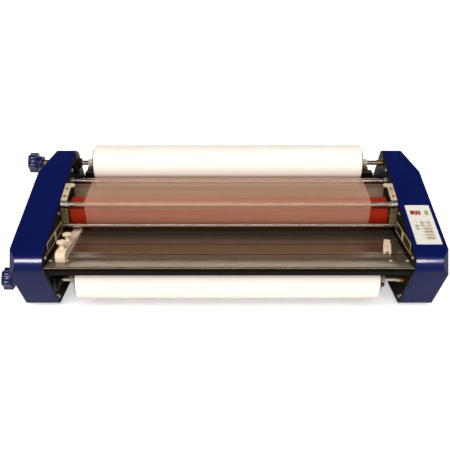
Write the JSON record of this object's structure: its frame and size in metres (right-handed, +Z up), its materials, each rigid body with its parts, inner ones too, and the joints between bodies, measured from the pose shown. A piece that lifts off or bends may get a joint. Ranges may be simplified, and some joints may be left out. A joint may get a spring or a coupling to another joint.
{
  "type": "roll laminator",
  "caption": "Desktop film roll laminator with a supply roll above and below a flat feed table, heated silicone nip rollers, rear pull rollers, blue end cabinets and a keypad.",
  "frame": {"origin": "on the surface the feet stand on, under the middle of the machine's bounding box", "axes": "+X to the operator's right along the rollers, +Y from the feed side to the back, +Z up"},
  "size_m": [0.9284, 0.4312, 0.2934],
  "materials": {
    "frame_black": "semi-gloss",
    "cover_blue": "gloss",
    "chassis_black": "satin",
    "hood_bronze": "satin",
    "table_bronze": "anodised satin",
    "bar_chrome": "polished",
    "zinc_gold": "yellow zinc",
    "silicone_red": "satin",
    "steel": "ground",
    "bronze": "satin",
    "spring_steel": "satin",
    "heater_metal": "satin",
    "black_rubber": "matt",
    "motor_grey": "satin",
    "gear_nylon": "satin",
    "hub_black": "satin",
    "chuck_tan": "satin",
    "film_white": "satin",
    "film_clear": "gloss",
    "knob_blue": "gloss",
    "guide_cream": "satin",
    "panel_white": "satin",
    "display_dark": "gloss",
    "board_green": "satin",
    "key_white": "satin",
    "key_beige": "satin",
    "fan_black": "satin",
    "inlet_black": "satin",
    "switch_red": "gloss",
    "fixings": "zinc"
  },
  "bodies": {
    "machine": {"left_side_frame": "frame_black", "right_side_frame": "frame_black", "left_cover": "cover_blue", "right_cover": "cover_blue", "chassis_pan": "chassis_black", "rear_hood": "hood_bronze", "feed_table": "table_bronze", "nip_guard_bar": "bar_chrome", "idler_brackets": "zinc_gold", "bronze_bushes": "bronze", "pressure_springs": "spring_steel", "heater_rods": "heater_metal", "drive_plate": "steel", "drive_motor": "motor_grey", "upper_film_web": "film_clear", "lower_film_web": "film_clear", "control_panel": "panel_white", "display_windows": "display_dark", "control_board": "board_green", "fan_housing": "fan_black", "power_entry": "inlet_black", "fasteners_and_feet": "fixings"},
    "lower_heat_roller": {"lower_roller_sleeve": "silicone_red", "lower_roller_shaft": "steel"},
    "upper_heat_roller": {"upper_roller_sleeve": "silicone_red", "upper_roller_shaft": "steel"},
    "transfer_gear": {"idler_gear": "gear_nylon"},
    "lower_pull": {"lower_pull_roller": "black_rubber"},
    "upper_pull": {"upper_pull_roller": "black_rubber"},
    "pinion": {"motor_pinion": "bronze"},
    "upper_supply": {"upper_brake_hub": "hub_black", "upper_mandrel": "steel", "upper_core_chucks": "chuck_tan", "upper_film_roll": "film_white"},
    "lower_supply": {"lower_brake_hub": "hub_black", "lower_mandrel": "steel", "lower_core_chucks": "chuck_tan", "lower_film_roll": "film_white"},
    "upper_knob": {"upper_tension_knob": "knob_blue"},
    "lower_knob": {"lower_tension_knob": "knob_blue"},
    "upper_idler": {"upper_idler_bar": "bar_chrome"},
    "rear_idler": {"rear_idler_bar": "bar_chrome"},
    "lower_idler": {"lower_idler_bar": "bar_chrome"},
    "side_guide": {"paper_guide": "guide_cream"},
    "guide_knob_front": {"guide_screw_front": "guide_cream"},
    "guide_knob_rear": {"guide_screw_rear": "guide_cream"},
    "stop_block": {"right_stop": "guide_cream"},
    "fan": {"fan_rotor": "fan_black"},
    "rocker": {"power_switch": "switch_red"},
    "left_key_1": {"left_key_1": "key_white"},
    "left_key_2": {"left_key_2": "key_beige"},
    "left_key_3": {"left_key_3": "key_beige"},
    "middle_key_1": {"middle_key_1": "key_beige"},
    "middle_key_2": {"middle_key_2": "key_beige"},
    "right_key_1": {"right_key_1": "key_beige"},
    "right_key_2": {"right_key_2": "key_beige"},
    "wide_key_1": {"wide_key_1": "key_beige"},
    "wide_key_2": {"wide_key_2": "key_beige"},
    "wide_key_3": {"wide_key_3": "key_beige"},
    "wide_key_4": {"wide_key_4": "key_beige"}
  },
  "joints": [
    {"name": "lower_heat_roller_spin", "type": "hinge", "parent": "machine", "child": "lower_heat_roller", "pos_m": [0.0178, -0.006, 0.104], "axis": [1, 0, 0], "continuous": true},
    {"name": "upper_heat_roller_spin", "type": "hinge", "parent": "machine", "child": "upper_heat_roller", "pos_m": [0.0178, -0.006, 0.174], "axis": [1, 0, 0], "continuous": true},
    {"name": "transfer_gear_spin", "type": "hinge", "parent": "machine", "child": "transfer_gear", "pos_m": [0.0178, 0.07879, 0.09829], "axis": [1, 0, 0], "continuous": true},
    {"name": "lower_pull_roller_spin", "type": "hinge", "parent": "machine", "child": "lower_pull", "pos_m": [0.0178, 0.14, 0.123], "axis": [1, 0, 0], "continuous": true},
    {"name": "upper_pull_roller_spin", "type": "hinge", "parent": "machine", "child": "upper_pull", "pos_m": [0.0178, 0.14, 0.155], "axis": [1, 0, 0], "continuous": true},
    {"name": "motor_pinion_spin", "type": "hinge", "parent": "machine", "child": "pinion", "pos_m": [0.0178, -0.02276, 0.05795], "axis": [1, 0, 0], "continuous": true},
    {"name": "upper_supply_spin", "type": "hinge", "parent": "machine", "child": "upper_supply", "pos_m": [0.0178, 0.1185, 0.251], "axis": [1, 0, 0], "continuous": true},
    {"name": "lower_supply_spin", "type": "hinge", "parent": "machine", "child": "lower_supply", "pos_m": [0.0178, -0.1443, 0.0766], "axis": [1, 0, 0], "continuous": true},
    {"name": "upper_tension_knob_turn", "type": "hinge", "parent": "upper_supply", "child": "upper_knob", "pos_m": [-0.4472, 0.1185, 0.251], "axis": [1, 0, 0], "range_deg": [-180, 180]},
    {"name": "lower_tension_knob_turn", "type": "hinge", "parent": "lower_supply", "child": "lower_knob", "pos_m": [-0.4472, -0.1443, 0.0766], "axis": [1, 0, 0], "range_deg": [-180, 180]},
    {"name": "upper_idler_spin", "type": "hinge", "parent": "machine", "child": "upper_idler", "pos_m": [0.0178, -0.043, 0.2074], "axis": [1, 0, 0], "continuous": true},
    {"name": "rear_idler_spin", "type": "hinge", "parent": "machine", "child": "rear_idler", "pos_m": [0.0178, 0.061, 0.225], "axis": [1, 0, 0], "continuous": true},
    {"name": "lower_idler_spin", "type": "hinge", "parent": "machine", "child": "lower_idler", "pos_m": [0.0178, -0.043, 0.071], "axis": [1, 0, 0], "continuous": true},
    {"name": "side_guide_slide", "type": "slide", "parent": "machine", "child": "side_guide", "axis": [1, 0, 0], "range_m": [-0.012, 0.24]},
    {"name": "guide_knob_front_turn", "type": "hinge", "parent": "side_guide", "child": "guide_knob_front", "pos_m": [-0.3257, -0.1646, 0.16], "axis": [0, 0, 1], "range_deg": [-90, 90]},
    {"name": "guide_knob_rear_turn", "type": "hinge", "parent": "side_guide", "child": "guide_knob_rear", "pos_m": [-0.3257, -0.119, 0.156], "axis": [0, 0, 1], "range_deg": [-90, 90]},
    {"name": "right_stop_slide", "type": "slide", "parent": "machine", "child": "stop_block", "axis": [1, 0, 0], "range_m": [-0.24, 0.012]},
    {"name": "fan_spin", "type": "hinge", "parent": "machine", "child": "fan", "pos_m": [0.0178, 0.101, 0.03], "axis": [0, 0, 1], "continuous": true},
    {"name": "power_rocker", "type": "hinge", "parent": "machine", "child": "rocker", "pos_m": [0.4133, 0.2045, 0.0965], "axis": [1, 0, 0], "range_deg": [0, 12]},
    {"name": "left_key_1_press", "type": "slide", "parent": "machine", "child": "left_key_1", "axis": [0, 0.3262, -0.9453], "range_m": [0, 0.0006], "stiffness_N_per_m": 600, "springref_m": -0.0004},
    {"name": "left_key_2_press", "type": "slide", "parent": "machine", "child": "left_key_2", "axis": [0, 0.3262, -0.9453], "range_m": [0, 0.0006], "stiffness_N_per_m": 600, "springref_m": -0.0004},
    {"name": "left_key_3_press", "type": "slide", "parent": "machine", "child": "left_key_3", "axis": [0, 0.3262, -0.9453], "range_m": [0, 0.0006], "stiffness_N_per_m": 600, "springref_m": -0.0004},
    {"name": "middle_key_1_press", "type": "slide", "parent": "machine", "child": "middle_key_1", "axis": [0, 0.3262, -0.9453], "range_m": [0, 0.0006], "stiffness_N_per_m": 600, "springref_m": -0.0004},
    {"name": "middle_key_2_press", "type": "slide", "parent": "machine", "child": "middle_key_2", "axis": [0, 0.3262, -0.9453], "range_m": [0, 0.0006], "stiffness_N_per_m": 600, "springref_m": -0.0004},
    {"name": "right_key_1_press", "type": "slide", "parent": "machine", "child": "right_key_1", "axis": [0, 0.3262, -0.9453], "range_m": [0, 0.0006], "stiffness_N_per_m": 600, "springref_m": -0.0004},
    {"name": "right_key_2_press", "type": "slide", "parent": "machine", "child": "right_key_2", "axis": [0, 0.3262, -0.9453], "range_m": [0, 0.0006], "stiffness_N_per_m": 600, "springref_m": -0.0004},
    {"name": "wide_key_1_press", "type": "slide", "parent": "machine", "child": "wide_key_1", "axis": [0, 0.3262, -0.9453], "range_m": [0, 0.0006], "stiffness_N_per_m": 600, "springref_m": -0.0004},
    {"name": "wide_key_2_press", "type": "slide", "parent": "machine", "child": "wide_key_2", "axis": [0, 0.3262, -0.9453], "range_m": [0, 0.0006], "stiffness_N_per_m": 600, "springref_m": -0.0004},
    {"name": "wide_key_3_press", "type": "slide", "parent": "machine", "child": "wide_key_3", "axis": [0, 0.3262, -0.9453], "range_m": [0, 0.0006], "stiffness_N_per_m": 600, "springref_m": -0.0004},
    {"name": "wide_key_4_press", "type": "slide", "parent": "machine", "child": "wide_key_4", "axis": [0, 0.3262, -0.9453], "range_m": [0, 0.0006], "stiffness_N_per_m": 600, "springref_m": -0.0004}
  ],
  "couplings": [
    {"joint": "upper_heat_roller_spin", "follows": "lower_heat_roller_spin", "ratio": -1},
    {"joint": "transfer_gear_spin", "follows": "lower_heat_roller_spin", "ratio": -0.7},
    {"joint": "lower_pull_roller_spin", "follows": "lower_heat_roller_spin", "ratio": 2.1875},
    {"joint": "upper_pull_roller_spin", "follows": "lower_heat_roller_spin", "ratio": -2.1875},
    {"joint": "motor_pinion_spin", "follows": "lower_heat_roller_spin", "ratio": -2.5},
    {"joint": "upper_supply_spin", "follows": "lower_heat_roller_spin", "ratio": 0.81176},
    {"joint": "lower_supply_spin", "follows": "lower_heat_roller_spin", "ratio": -0.81176}
  ]
}
